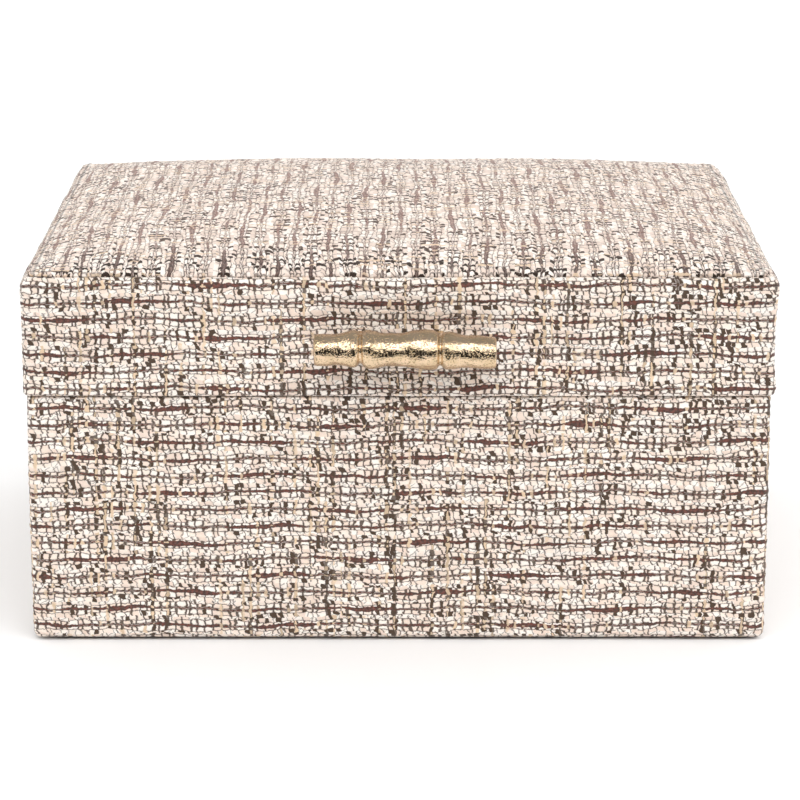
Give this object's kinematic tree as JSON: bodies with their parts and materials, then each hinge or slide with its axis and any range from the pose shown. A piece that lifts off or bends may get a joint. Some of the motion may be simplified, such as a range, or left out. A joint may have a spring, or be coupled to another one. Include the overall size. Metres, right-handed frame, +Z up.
{
  "type": "storage box",
  "caption": "Rectangular tweed-covered storage box with a hinged, padded lid and a cast bamboo-shaped bar pull.",
  "frame": {"origin": "centre of the resting face, on the surface that the box stands on", "axes": "+X to the right along the front, the front faces -Y with the pull, the hinges are at +Y, +Z up"},
  "size_m": [0.254, 0.2282, 0.1388],
  "materials": {
    "tweed": "slubby woven tweed",
    "board": "fibreboard",
    "card": "card",
    "felt": "dark felt",
    "suede": "napped suede cloth on card",
    "padding": "napped suede cloth over wadding",
    "foam": "open foam",
    "cast_brass": "polished, pitted casting",
    "brass": "satin",
    "steel": "zinc plated"
  },
  "bodies": {
    "base": {"base_front_board": "board", "base_back_board": "board", "base_left_board": "board", "base_right_board": "board", "base_floor_board": "board", "base_tweed_wrap": "tweed", "base_filler_card": "card", "base_bottom_cover": "felt", "base_lining_front": "suede", "base_lining_back": "suede", "base_lining_left": "suede", "base_lining_right": "suede", "base_floor_pad": "padding", "hinge_base_leaves": "brass", "hinge_pins": "brass", "hinge_base_screws": "brass"},
    "lid": {"lid_front_board": "board", "lid_back_board": "board", "lid_left_board": "board", "lid_right_board": "board", "lid_top_board": "board", "lid_tweed_band": "tweed", "lid_filler_card": "card", "lid_panel_card": "card", "lid_foam_pad": "foam", "lid_top_tweed": "tweed", "lid_lining_front": "suede", "lid_lining_back": "suede", "lid_lining_left": "suede", "lid_lining_right": "suede", "lid_lining_top": "padding", "pull_bar": "cast_brass", "pull_screws": "steel", "pull_washers": "steel", "hinge_lid_leaves": "brass", "hinge_lid_screws": "brass"}
  },
  "joints": [
    {"name": "lid_hinge", "type": "hinge", "parent": "base", "child": "lid", "pos_m": [0, 0.1043, 0.0874], "axis": [-1, 0, 0], "range_deg": [0, 95]}
  ]
}
